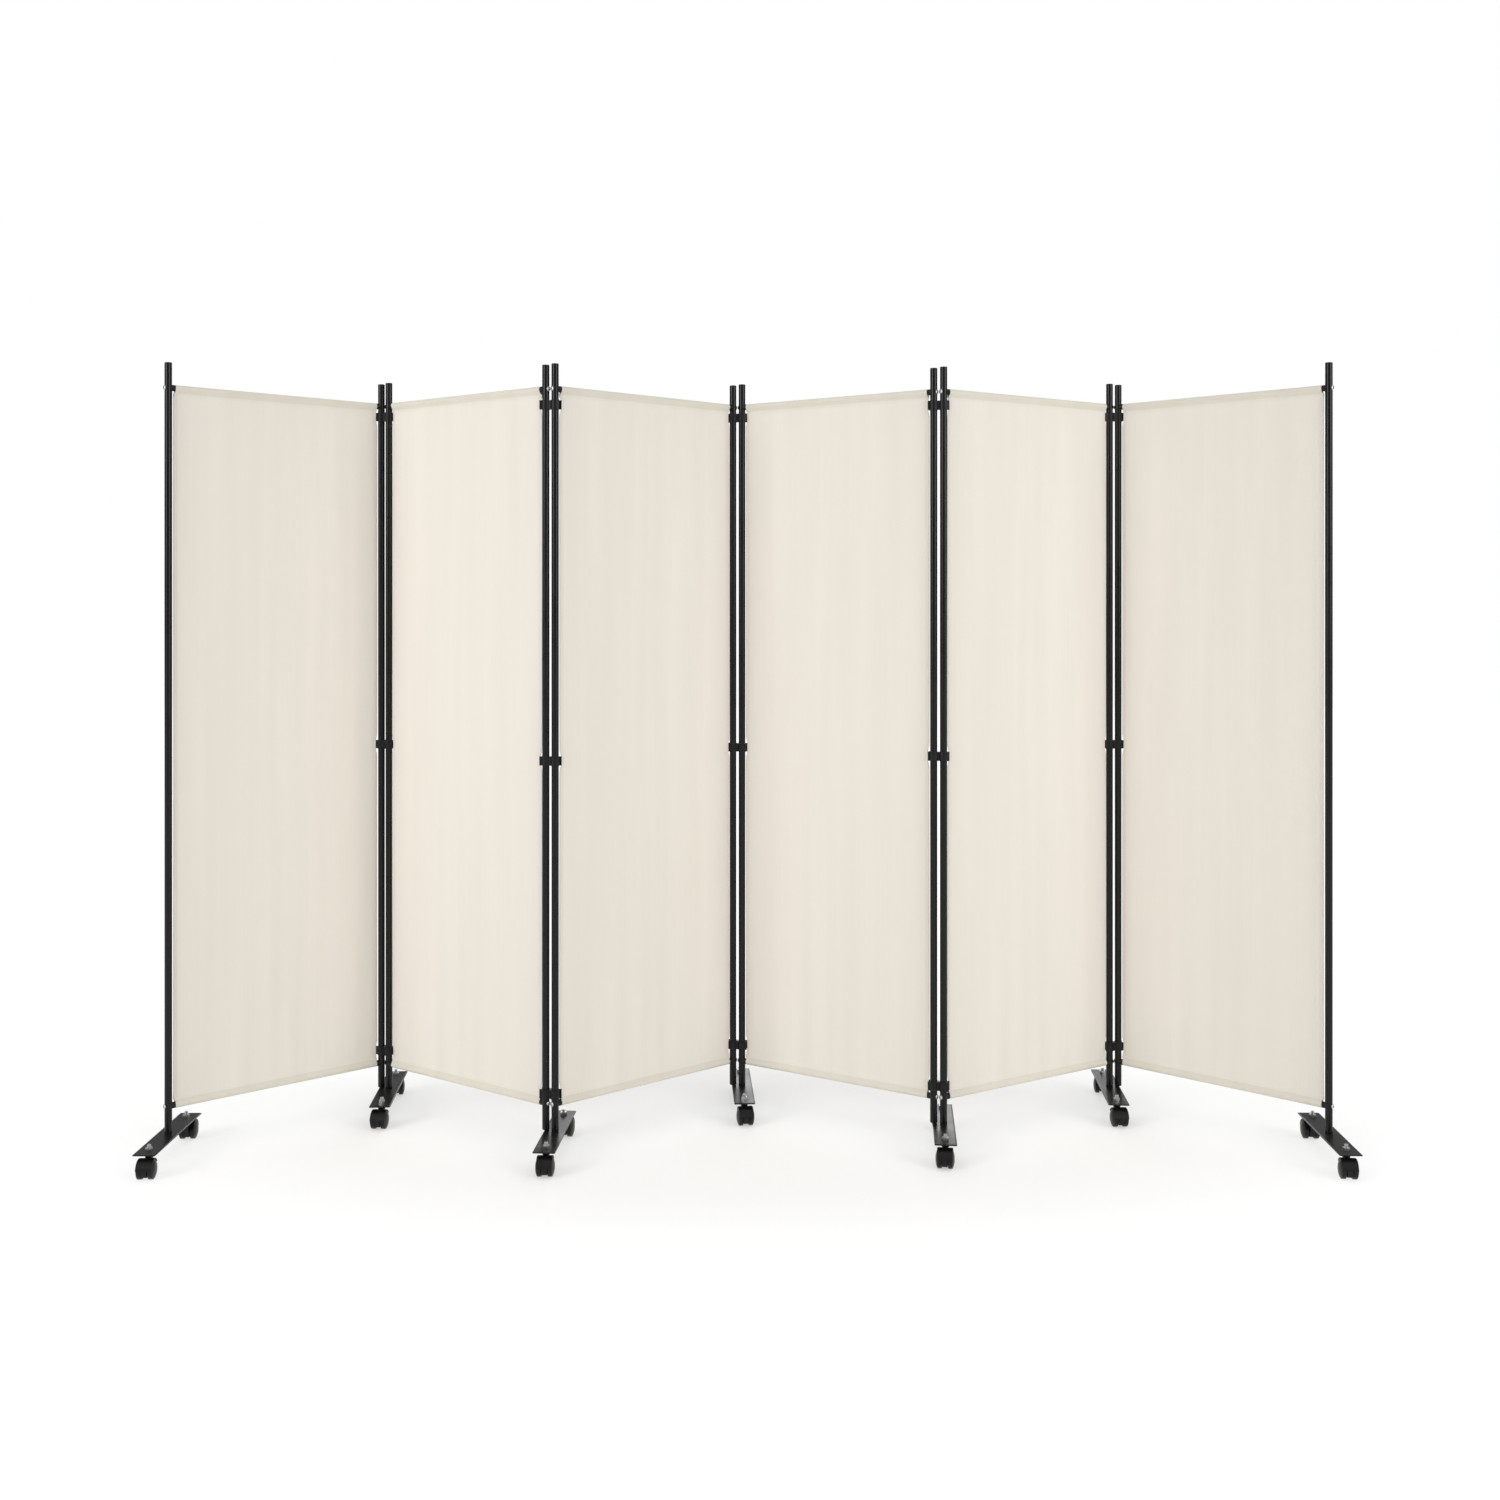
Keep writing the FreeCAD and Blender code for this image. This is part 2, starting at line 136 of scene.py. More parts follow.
def paint(piece, finish):
    """Gives a piece or a node of the frame its finish, in each of its slots."""
    if not piece.material_slots:
        piece.data.materials.append(finish)
    for slot in piece.material_slots:
        slot.material = finish


post_enamel = black_enamel("black_enamel_on_steel_tube", "#0d0d0e", "#151515", 0.28, True)
for n in panel_numbers:
    paint(frame["nodes"][f"panel_{n}_posts"], post_enamel)

# Rails
# A 12 mm steel tube runs inside each cloth sleeve. A black nylon plug at each end is hollowed to sit on the
# round post, and 6 mm of it shows between the post and the cloth.
panel_width = 508 * mm
rail_radius = 6 * mm
rail_plug_radius = 6.8 * mm
rail_plug_length = 6 * mm
rail_plug_edge = 0.6 * mm
rail_length = panel_width - 2 * (post_radius + rail_plug_length)
cloth_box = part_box("panel_1_cloth")
sleeve_radius = 7 * mm
rail_heights = (cloth_box[0].z + sleeve_radius, cloth_box[1].z - sleeve_radius)
along_panel = (0, math.pi / 2, 0)
rail_sides = 40
post_sides = 64
nylon_flow = 16.7 * mm
nylon_flow_shade = "#171718"
nylon_grain_depth = 0.03 * mm


def hinge_between(one, other):
    """Where the joint between two bodies stands."""
    return next(Vector(j["pos_m"]) for j in frame["joints"] if {j["parent"], j["child"]} == {one, other})


def on_floor(point, direction):
    """The place of something that stands upright at a point, its X axis along a direction."""
    turn = math.atan2(direction.y, direction.x)
    return Matrix.Translation((point.x, point.y, 0)) @ Matrix.Rotation(turn, 4, "Z")


panel_place = {}
for n in panel_numbers:
    left = hinge_between(f"panel_{n}", "foot_1" if n == 1 else f"clips_{n - 1}_{n}")
    right = hinge_between(f"panel_{n}", "foot_7" if n == 6 else f"clips_{n}_{n + 1}")
    panel_place[n] = on_floor(left, right - left)


def settle(piece, angle=35):
    """Applies a modelled piece's place and smooths its faces up to an angle between them."""
    bpy.ops.object.select_all(action="DESELECT")
    piece.select_set(True)
    bpy.context.view_layer.objects.active = piece
    bpy.ops.object.transform_apply(location=True, rotation=True, scale=True)
    bpy.ops.object.shade_smooth_by_angle(angle=math.radians(angle))
    return piece


def apply_modifier(piece, kind, **settings):
    """Works one modifier into a piece's mesh."""
    modifier = piece.modifiers.new(kind.lower(), kind)
    for name, value in settings.items():
        setattr(modifier, name, value)
    bpy.context.view_layer.objects.active = piece
    bpy.ops.object.modifier_apply(modifier=modifier.name)


def cut(piece, tool, operation="DIFFERENCE"):
    """Cuts a piece with another one, which is used up."""
    apply_modifier(piece, "BOOLEAN", object=tool, operation=operation, solver="EXACT")
    bpy.data.objects.remove(tool)


def joined(pieces):
    """One model out of several."""
    bpy.ops.object.select_all(action="DESELECT")
    for piece in pieces:
        piece.select_set(True)
    bpy.context.view_layer.objects.active = pieces[0]
    bpy.ops.object.join()
    return pieces[0]


def placed(model, name, place, body):
    """A copy of a model with its own mesh, set at its place on a body of the frame."""
    piece = bpy.data.objects.new(name, model.data.copy())
    bpy.context.scene.collection.objects.link(piece)
    piece.data.transform(place)
    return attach(piece, body)


def rail(height):
    """One rail of a panel, from post to post: its tube and the two plugs, hollowed by the posts."""
    bpy.ops.mesh.primitive_cylinder_add(vertices=rail_sides, radius=rail_radius, depth=rail_length,
                                        location=(panel_width / 2, 0, height), rotation=along_panel)
    parts = [settle(bpy.context.object)]
    for post, way in ((0, 1), (panel_width, -1)):
        middle = post + way * (post_radius + rail_plug_length) / 2
        bpy.ops.mesh.primitive_cylinder_add(vertices=rail_sides, radius=rail_plug_radius,
                                            depth=post_radius + rail_plug_length,
                                            location=(middle, 0, height), rotation=along_panel)
        plug = bpy.context.object
        apply_modifier(plug, "BEVEL", width=rail_plug_edge, segments=2, limit_method="ANGLE")
        bpy.ops.mesh.primitive_cylinder_add(vertices=post_sides, radius=post_radius, depth=4 * rail_plug_radius,
                                            location=(post, 0, height))
        cut(plug, bpy.context.object)
        parts.append(settle(plug))
    return joined(parts)


def moulded_nylon(name, base, roughness, grain):
    """Injection-moulded nylon: black through and through, satin, with the spark-eroded grain of its mould. The
    grain is drawn several times coarser than it is, because the real one is finer than the render shows."""
    finish, tree = empty_material(name)
    place = add(tree, "TexCoord").outputs["Object"]
    spark = add(tree, "TexNoise", {"Scale": 1 / grain, "Detail": 3.0}, {"Vector": place}).outputs["Fac"]
    flow = add(tree, "TexNoise", {"Scale": 1 / nylon_flow, "Detail": 2.0}, {"Vector": place}).outputs["Fac"]
    rough = add(tree, "MapRange", {"To Min": roughness - 0.07, "To Max": roughness + 0.09},
                {"Value": flow}).outputs["Result"]
    tone = add(tree, "ValToRGB", links={"Fac": flow})
    tone.color_ramp.elements[0].color = colour(base)
    tone.color_ramp.elements[1].color = colour(nylon_flow_shade)
    bump = add(tree, "Bump", {"Strength": 0.3, "Distance": nylon_grain_depth},
               {"Height": spark}).outputs["Normal"]
    close_material(tree, {"IOR": 1.5, "Specular IOR Level": 0.24},
                   {"Base Color": tone.outputs["Color"], "Roughness": rough, "Normal": bump})
    return finish


nylon = moulded_nylon("moulded_black_nylon", "#0d0d0e", 0.42, 0.8 * mm)
rail_model = joined([rail(height) for height in rail_heights])
paint(rail_model, nylon)
for n in panel_numbers:
    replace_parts(placed(rail_model, f"panel_{n}_rail_tubes", panel_place[n], f"panel_{n}"),
                        f"panel_{n}_rails")
bpy.data.objects.remove(rail_model)

# Rail bolts
# A low domed bolt goes through each post into the rail's plug. Its zinc-plated head, with a hexagonal socket,
# is the bright spot on the post's outer side.
bolt_head = ((5.4, 0), (5.4, 0.5), (5.15, 1.0), (4.6, 1.55), (3.7, 2.0), (2.9, 2.25), (2.4, 2.35))
bolt_head_height = bolt_head[-1][1] * mm
bolt_socket_radius = 2.3 * mm
bolt_socket_depth = 1.4 * mm
zinc_mottle = 2.86 * mm
zinc_mottle_depth = 0.02 * mm
zinc_bright_shade = "#d4d5d3"


def lathed(rings, sides=32):
    """A closed piece turned about Z, from its rings of radius and height in millimetres."""
    radius, height = rings[0]
    bpy.ops.mesh.primitive_circle_add(vertices=sides, radius=radius * mm, fill_type="NGON",
                                      location=(0, 0, height * mm))
    piece = bpy.context.object
    bpy.ops.object.mode_set(mode="EDIT")
    bpy.ops.mesh.select_all(action="SELECT")
    for next_radius, next_height in rings[1:]:
        rise = (0, 0, (next_height - height) * mm)
        bpy.ops.mesh.extrude_region_move(TRANSFORM_OT_translate={"value": rise})
        share = next_radius / radius
        bpy.ops.transform.resize(value=(share, share, 1))
        radius, height = next_radius, next_height
    bpy.ops.mesh.select_all(action="SELECT")
    bpy.ops.mesh.normals_make_consistent(inside=False)
    bpy.ops.object.mode_set(mode="OBJECT")
    return settle(piece)


def zinc_plate(name, base, roughness):
    """Bright zinc on steel: a blue-white metal, slightly mottled by its passivation."""
    finish, tree = empty_material(name)
    place = add(tree, "TexCoord").outputs["Object"]
    mottle = add(tree, "TexNoise", {"Scale": 1 / zinc_mottle, "Detail": 4.0}, {"Vector": place}).outputs["Fac"]
    tone = add(tree, "ValToRGB", links={"Fac": mottle})
    tone.color_ramp.elements[0].position = 0.3
    tone.color_ramp.elements[0].color = colour(base)
    tone.color_ramp.elements[1].position = 0.7
    tone.color_ramp.elements[1].color = colour(zinc_bright_shade)
    rough = add(tree, "MapRange", {"To Min": roughness - 0.08, "To Max": roughness + 0.1},
                {"Value": mottle}).outputs["Result"]
    bump = add(tree, "Bump", {"Strength": 0.15, "Distance": zinc_mottle_depth},
               {"Height": mottle}).outputs["Normal"]
    close_material(tree, {"Metallic": 1.0},
                   {"Base Color": tone.outputs["Color"], "Roughness": rough, "Normal": bump})
    return finish


zinc = zinc_plate("bright_zinc_plated_steel", "#b4b6b8", 0.3)
bolt_model = lathed(bolt_head)
bpy.ops.mesh.primitive_cylinder_add(vertices=6, radius=bolt_socket_radius, depth=2 * bolt_socket_depth,
                                    location=(0, 0, bolt_head_height))
cut(bolt_model, bpy.context.object)
settle(bolt_model)
paint(bolt_model, zinc)
for n in panel_numbers:
    bolts = []
    for height in rail_heights:
        for post, way in ((0, -1), (panel_width, 1)):
            outward = Matrix.Rotation(way * math.pi / 2, 4, "Y")
            side = Matrix.Translation((post + way * post_radius, 0, height)) @ outward
            bolts.append(placed(bolt_model, f"panel_{n}_rail_bolts", panel_place[n] @ side, f"panel_{n}"))
    piece = joined(bolts)
    piece.name = f"panel_{n}_rail_bolts"
bpy.data.objects.remove(bolt_model)

# Cloth
# Each panel's cloth is one plain-woven cream polyester sheet. Its side edges are turned back in narrow hems,
# and its ends are folded over the rails and sewn down, which makes the two sleeves that stretch it.
cloth_gap = 3 * mm  # between a post and the cloth's edge
held_gap = 6.3 * mm  # the same at the sleeves and behind a clip's lips
held_reach = 14 * mm  # above and below a clip, where the edge comes back to its line
sleeve_held = 8.5 * mm  # half the height that is held at a rail
sleeve_reach = 4 * mm  # above and below that, as at a clip
cloth_width = panel_width - 2 * (post_radius + cloth_gap)
cloth_thickness = 0.4 * mm
hem_width = 8 * mm
hem_layer = 0.6 * mm
hem_fold = 0.4 * mm
sleeve_line_radius = 6.6 * mm
sleeve_turns = 16
seam_drop = 13 * mm
seam_tail = 5 * mm
seam_heights = (rail_heights[0] + seam_drop, rail_heights[1] - seam_drop)
rear_layer = 1.5 * mm
sheet_step = 8 * mm
column_step = 4 * mm
clip_spacing = 50 * mm  # two clips of a set stand more than this apart
waist = 0.4 * mm  # how far each side is drawn in at mid height
edge_pull = 40 * mm  # how deep into the cloth a held edge pulls it
slack_width = 118 * mm  # from crest to crest of the widest draws in the taut cloth
slack_wander = 1100 * mm  # the same of their bends, down the cloth
crease_width = 53 * mm  # the narrower draws between them
crease_wander = 700 * mm
slack_start = 60 * mm  # how far from a seam both have their full depth
pucker_width = 19 * mm  # the small puckers along a seam
pucker_wander = 69.8 * mm
pucker_start = 8 * mm
pucker_length = 38 * mm  # how slowly they die away from the seam
thread_radius = 0.25 * mm
thread_sides = 4
thread_off = 0.55 * cloth_thickness  # from the cloth's middle to the thread's
stitch_length = 2.3 * mm
stitch_pitch = 3 * mm
seam_margin = 1.5 * mm
single_mark, hem_mark, sleeve_mark = 0.0, 0.5, 1.0  # where the cloth is doubled, for the painted shade there
weave_thread = 1.4 * mm
weave_depth = 0.12 * mm
slub_size = (3.85 * mm, 455 * mm)
band_size = (62.5 * mm, 1111 * mm)
thread_twist = 0.35 * mm
thread_twist_depth = 0.05 * mm
thread_shadow_shade = "#cfc9bb"
bands_per_unit = 3.18  # in a Wave texture of scale 1


def between(one, other, share):
    """The point at a share of the way from one point to another."""
    return tuple(a + (b - a) * share for a, b in zip(one, other))


def sleeve_outline(height, out):
    """Points (y, z) round one rail, from the seam up the front, over the rail and down the back to the tail."""
    seam = (0, height - out * seam_drop)
    behind = (rear_layer, seam[1])
    lean = math.acos(sleeve_line_radius / seam_drop)
    turns = [lean + (2 * math.pi - 2 * lean) * i / sleeve_turns for i in range(sleeve_turns + 1)]
    round_rail = [(-sleeve_line_radius * math.sin(turn), height - out * sleeve_line_radius * math.cos(turn))
                  for turn in turns]
    up_front = [between(seam, round_rail[0], share) for share in (0.3, 0.65)]
    down_back = [between(round_rail[-1], behind, share) for share in (0.4, 0.75, 1.0)]
    return [seam] + up_front + round_rail + down_back + [(rear_layer, seam[1] - out * seam_tail)]


def cloth_rows():
    """The cloth's line from its upper tail over the top rail, down the front, and round the lower rail."""
    top = sleeve_outline(rail_heights[1], 1)[::-1]
    low = sleeve_outline(rail_heights[0], -1)
    start, end = top[-1][1], low[0][1]
    count = round((start - end) / sheet_step)
    return top + [(0, start + (end - start) * i / count) for i in range(1, count)] + low, len(top), len(low)


def cloth_columns():
    """(x, layer) of each column, from the left hem's inner edge round the fold, across, and round the right."""
    fold = [(hem_width, 1.0), (hem_width * 0.6, 1.0), (hem_width * 0.25, 1.0), (hem_fold, 1.0), (0.0, 0.5)]
    near = [(hem_fold, 0.0), (hem_width * 0.5, 0.0), (hem_width, 0.0)]
    inner = cloth_width - 2 * hem_width
    count = round(inner / column_step)
    across = [(hem_width + inner * i / count, 0.0) for i in range(1, count)]
    far = [(cloth_width - x, layer) for x, layer in (fold + near)[::-1]]
    return fold + near + across + far


def clip_spans(name):
    """The lowest and highest points of each clip of a set, or none for the divider's two ends."""
    if name not in frame["nodes"]:
        return []
    spans = []
    for z in sorted(vertex.co.z for vertex in frame["nodes"][name].data.vertices):
        if not spans or z - spans[-1][1] > clip_spacing:
            spans.append([z, z])
        spans[-1][1] = z
    return spans


def held_in(z, spans):
    """How far the cloth's edge stands off its usual line at a height: at the sleeves' ends and at the clips."""
    away = [max(abs(z - height) - sleeve_held, 0) / sleeve_reach for height in rail_heights]
    away += [max(low - z, z - high, 0) / held_reach for low, high in spans]
    near = max(0.0, 1 - min(away))
    return (held_gap - cloth_gap) * near * near * (3 - 2 * near)


def wave(place, width, start):
    """How high an even wave stands at a place, from -1 to 1, where its crests are a width apart."""
    return math.sin(2 * math.pi * place / width + start)


def ripple(x, z, seed):
    """How far the taut cloth stands off its plane: long soft draws and small puckers at the two seams."""
    near = min(z - seam_heights[0], seam_heights[1] - z)
    if near <= 0:
        return 0.0
    draw = 0.55 * wave(x, slack_width, seed + 0.8 * wave(z, slack_wander, seed))
    draw += 0.3 * wave(x, crease_width, 2.1 * seed + 0.5 * wave(z, crease_wander, 0))
    pucker = 0.35 * math.exp(-near / pucker_length) * wave(x, pucker_width, 1.5 * wave(x, pucker_wander, seed))
    return mm * (min(1.0, near / slack_start) * draw + min(1.0, near / pucker_start) * pucker)


def drawn(x, z, left_spans, right_spans):
    """How far a point of the flat cloth is drawn sideways as it hangs."""
    middle = 1 - (2 * (z - rail_heights[0]) / (rail_heights[1] - rail_heights[0]) - 1) ** 2
    shift = waist * middle * (1 - 2 * x / cloth_width)
    shift += held_in(z, left_spans) * math.exp(-max(x - hem_width, 0) / edge_pull)
    return shift - held_in(z, right_spans) * math.exp(-max(cloth_width - hem_width - x, 0) / edge_pull)


def hang_cloth(name, seed, left_spans, right_spans):
    """The cloth as a sheet of its real thickness, its weave laid out in metres and its doubled parts marked for
    their painted shade.
    """
    rows, top_count, low_count = cloth_rows()
    columns = cloth_columns()
    hem_end = hem_width + 0.1 * mm  # a hair past the hem's last column
    lengths = [0.0]
    for before, after in zip(rows, rows[1:]):
        lengths.append(lengths[-1] + math.dist(before, after))
    points, doubled = [], []
    for i, (y, z) in enumerate(rows):
        before, after = rows[max(i - 1, 0)], rows[min(i + 1, len(rows) - 1)]
        along = Vector((after[0] - before[0], after[1] - before[1])).normalized()
        inward = (-along.y, along.x)
        in_sleeve = i < top_count - 1 or i > len(rows) - low_count
        for x, layer in columns:
            across_x = post_radius + cloth_gap + x + drawn(x, z, left_spans, right_spans)
            points.append((across_x, y + inward[0] * layer * hem_layer + ripple(x, z, seed),
                           z + inward[1] * layer * hem_layer))
            in_hem = x < hem_end or x > cloth_width - hem_end
            doubled.append(sleeve_mark if in_sleeve else (hem_mark if in_hem else single_mark))
    wide = len(columns)
    faces = [(i * wide + j, i * wide + j + 1, (i + 1) * wide + j + 1, (i + 1) * wide + j)
             for i in range(len(rows) - 1) for j in range(wide - 1)]
    mesh = bpy.data.meshes.new(name)
    mesh.from_pydata(points, [], faces)
    marks = mesh.attributes.new("doubled", "FLOAT", "POINT")
    marks.data.foreach_set("value", doubled)
    across = [0.0]
    for before, after in zip(columns, columns[1:]):
        across.append(across[-1] + abs(after[0] - before[0]))
    weave = mesh.uv_layers.new(name="weave")
    for face in mesh.polygons:
        for corner, vertex in zip(face.loop_indices, face.vertices):
            weave.data[corner].uv = (across[vertex % wide], lengths[vertex // wide])
    piece = bpy.data.objects.new(name, mesh)
    bpy.context.scene.collection.objects.link(piece)
    apply_modifier(piece, "SOLIDIFY", thickness=cloth_thickness, offset=0.0)
    for polygon in piece.data.polygons:
        polygon.use_smooth = True
    return piece, across[-1], lengths[-1]


def woven_polyester(name, single, sleeve, hem):
    """Plain-woven polyester: matt, cream, with slubs down the warp. Its threads lie 0.5 mm apart; the weave is
    drawn at 1.4 mm, because the real one is finer than the render shows. The doubled sleeves and hems are
    painted darker: painted shade for the light that the doubled cloth, and the rail inside a sleeve, keeps from
    shining through."""
    finish, tree = empty_material(name)
    flat = add(tree, "UVMap", uv_map="weave").outputs["UV"]
    threads = {"Scale": 1 / weave_thread / bands_per_unit, "Distortion": 0.6, "Detail": 1.0,
               "Detail Scale": 0.6}
    warp = add(tree, "TexWave", threads, {"Vector": flat}, bands_direction="X").outputs["Fac"]
    weft = add(tree, "TexWave", threads, {"Vector": flat}, bands_direction="Y").outputs["Fac"]
    weave = add(tree, "Math", links={0: warp, 1: weft}, operation="MULTIPLY").outputs["Value"]
    stretched = add(tree, "Mapping", {"Scale": (1 / slub_size[0], 1 / slub_size[1], 1.0)},
                    {"Vector": flat}).outputs["Vector"]
    slubs = add(tree, "TexNoise", {"Scale": 1.0, "Detail": 3.0}, {"Vector": stretched}).outputs["Fac"]
    broad = add(tree, "Mapping", {"Scale": (1 / band_size[0], 1 / band_size[1], 1.0)},
                {"Vector": flat}).outputs["Vector"]
    bands = add(tree, "TexNoise", {"Scale": 1.0, "Detail": 1.0}, {"Vector": broad}).outputs["Fac"]
    doubled = add(tree, "Attribute", attribute_name="doubled").outputs["Fac"]
    # Painted shade: the sleeves and hems, where the cloth is doubled, get darker colours than the single cloth.
    tone = add(tree, "ValToRGB", links={"Fac": doubled})
    tone.color_ramp.elements[0].color = colour(single)
    tone.color_ramp.elements[1].color = colour(sleeve)
    tone.color_ramp.elements.new(hem_mark).color = colour(hem)
    streaks = add(tree, "Math", {1: 0.5}, {0: slubs, 2: bands}, operation="MULTIPLY_ADD").outputs["Value"]
    level = add(tree, "MapRange", {"From Min": 0.4, "From Max": 1.1, "To Min": 0.955, "To Max": 1.02},
                {"Value": streaks}).outputs["Result"]
    shade = add(tree, "VectorMath", links={0: tone.outputs["Color"], 1: level}, operation="MULTIPLY").outputs[0]
    height = add(tree, "Math", {1: 0.35}, {0: weave, 2: slubs}, operation="MULTIPLY_ADD").outputs["Value"]
    bump = add(tree, "Bump", {"Strength": 0.35, "Distance": weave_depth}, {"Height": height}).outputs["Normal"]
    close_material(tree, {"Roughness": 0.9, "IOR": 1.4, "Sheen Weight": 0.12, "Sheen Roughness": 0.5},
                   {"Base Color": shade, "Normal": bump})
    return finish


def stitches(start, way, length):
    """One straight row of lock stitches on the flat cloth, as short rounded lengths of thread along a line."""
    bpy.ops.mesh.primitive_cylinder_add(vertices=thread_sides, radius=thread_radius, depth=stitch_length,
                                        rotation=along_panel if way.x else (0, 0, 0))
    row = settle(bpy.context.object)
    apply_modifier(row, "BEVEL", width=0.6 * thread_radius, segments=1)
    apply_modifier(row, "ARRAY", count=int(length / stitch_pitch), use_relative_offset=False,
                   use_constant_offset=True, constant_offset_displace=way * stitch_pitch)
    row.data.transform(Matrix.Translation(start + way * stitch_pitch / 2))
    return row


def sew(name, seed, left_spans, right_spans):
    """The rows along both hems and both sleeve seams, front and back, moved as the cloth under them is."""
    low, high = seam_heights[0] + seam_margin, seam_heights[1] - seam_margin
    front, back = -thread_off, hem_layer + thread_off
    up, side = Vector((0, 0, 1)), Vector((1, 0, 0))
    rows = []
    for x in (hem_width - seam_margin, cloth_width - hem_width + seam_margin):
        rows += [stitches(Vector((x, y, low)), up, high - low) for y in (front, back)]
    for z in (low, high):
        rows.append(stitches(Vector((seam_margin, front, z)), side, cloth_width - 2 * seam_margin))
    sewing = joined(rows)
    for point in sewing.data.vertices:
        x, y, z = point.co
        across_x = post_radius + cloth_gap + x + drawn(x, z, left_spans, right_spans)
        point.co = (across_x, y + ripple(x, z, seed), z)
    sewing.name = name
    return sewing


def sewing_thread(name, base):
    """Twisted polyester thread, cream and slightly shiny, with the twist drawn along each stitch."""
    finish, tree = empty_material(name)
    place = add(tree, "TexCoord").outputs["Object"]
    twist = add(tree, "TexWave", {"Scale": 1 / thread_twist / bands_per_unit, "Distortion": 1.0},
                {"Vector": place}, bands_direction="DIAGONAL").outputs["Fac"]
    tone = add(tree, "ValToRGB", links={"Fac": twist})
    tone.color_ramp.elements[0].color = colour(thread_shadow_shade)
    tone.color_ramp.elements[1].color = colour(base)
    bump = add(tree, "Bump", {"Strength": 0.4, "Distance": thread_twist_depth},
               {"Height": twist}).outputs["Normal"]
    close_material(tree, {"Roughness": 0.5, "IOR": 1.5}, {"Base Color": tone.outputs["Color"], "Normal": bump})
    return finish


cream_thread = sewing_thread("twisted_cream_sewing_thread", "#e6e0d2")
# The second and third colours, of the sleeves and the hems, are painted shade for the doubled cloth.
cream_cloth = woven_polyester("plain_woven_cream_polyester_shaded_where_doubled", "#ebe5db", "#dfdacd", "#e7e1d6")
for n in panel_numbers:
    seed = 1.7 * n  # no two cloths hang alike
    left_spans = clip_spans(f"clips_{n - 1}_{n}")
    right_spans = clip_spans(f"clips_{n}_{n + 1}")
    sheet, flat_width, flat_length = hang_cloth(f"panel_{n}_screen_cloth", seed, left_spans, right_spans)
    sewing = sew(f"panel_{n}_stitching", seed, left_spans, right_spans)
    sewing.data.transform(panel_place[n])
    paint(sewing, cream_thread)
    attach(sewing, f"panel_{n}")
    sheet.data.transform(panel_place[n])
    paint(sheet, cream_cloth)
    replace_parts(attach(sheet, f"panel_{n}"), f"panel_{n}_cloth")

# Snap clips
# Three moulded black clips hold each pair of posts 22 mm apart. Each is a figure eight of two open rings with
# flared lips, which are pushed over the posts and turn on them.
for n in panel_numbers[:-1]:
    paint(frame["nodes"][f"clips_{n}_{n + 1}"], nylon)

# Feet
# Each foot is a flat steel bar of 278 by 48 by 3 mm in satin black enamel, screwed to the end of a post from
# below. A caster's threaded stem comes up through each end, with a bright nut on it.
foot_numbers = range(1, 8)
plate_length = 278 * mm
plate_width = 48 * mm
plate_bottom = 51 * mm
plate_top = 54 * mm
plate_corner = 2.5 * mm
plate_edge = 0.45 * mm
foot_place = {}
for n in foot_numbers:
    front = hinge_between(f"foot_{n}", f"foot_{n}_front_hood")
    back = hinge_between(f"foot_{n}", f"foot_{n}_back_hood")
    foot_place[n] = on_floor((front + back) / 2, front - back)
stem_offset = (front - back).to_2d().length / 2  # the same on every foot

bpy.ops.mesh.primitive_cube_add(size=1, location=(0, 0, (plate_bottom + plate_top) / 2))
bar_model = bpy.context.object
bar_model.scale = (plate_length, plate_width, plate_top - plate_bottom)
settle(bar_model)
bpy.ops.object.mode_set(mode="EDIT")
bpy.ops.mesh.select_all(action="DESELECT")
bpy.ops.object.mode_set(mode="OBJECT")
for edge in bar_model.data.edges:
    ends = [bar_model.data.vertices[v].co for v in edge.vertices]
    edge.select = abs(ends[0].z - ends[1].z) > (plate_top - plate_bottom) / 2
bpy.ops.object.mode_set(mode="EDIT")
bpy.ops.mesh.select_mode(type="EDGE")
bpy.ops.mesh.bevel(offset=plate_corner, segments=5)
bpy.ops.object.mode_set(mode="OBJECT")
apply_modifier(bar_model, "BEVEL", width=plate_edge, segments=2, limit_method="ANGLE",
               angle_limit=math.radians(50))
settle(bar_model)
plate_enamel = black_enamel("satin_black_enamel_on_steel_bar", "#131312", "#1c1b1a", 0.3, False)
paint(bar_model, plate_enamel)

# These are rings in millimetres, as for the bolts: a neck and a collar under the bar, then the plain stem
# through the bar and the nut, and above it the end of its M8 thread.
stem_radius = 4.0
thread_root = 3.45
thread_pitch = 1.25
thread_start = 60.4
stem_rings = [(4.7, 46.2), (4.7, 50.2), (6.2, 50.2), (6.2, 50.95), (stem_radius, 50.95),
              (stem_radius, thread_start)]
for turn in range(5):
    start = thread_start + thread_pitch * turn
    stem_rings += [(thread_root, start + 0.1), (stem_radius, start + 0.5), (stem_radius, start + 0.75),
                   (thread_root, start + 1.15)]
stem_rings.append((3.2, 66.9))
stem_model = lathed(stem_rings, sides=24)
nut_across_flats = 13
nut_corner = nut_across_flats / math.sqrt(3)
nut_height = 6.5
nut_chamfer = ((nut_corner - 0.7, 53.9), (nut_corner + 0.2, 54.6), (nut_corner + 0.2, 59.7),
               (nut_corner - 1.2, 60.6))
bpy.ops.mesh.primitive_cylinder_add(vertices=6, radius=nut_corner * mm, depth=nut_height * mm,
                                    location=(0, 0, plate_top + nut_height * mm / 2))
nut_model = bpy.context.object
cut(nut_model, lathed(nut_chamfer, sides=48), "INTERSECT")
settle(nut_model, 20)
bolted_model = joined([stem_model, nut_model])
paint(bolted_model, zinc)
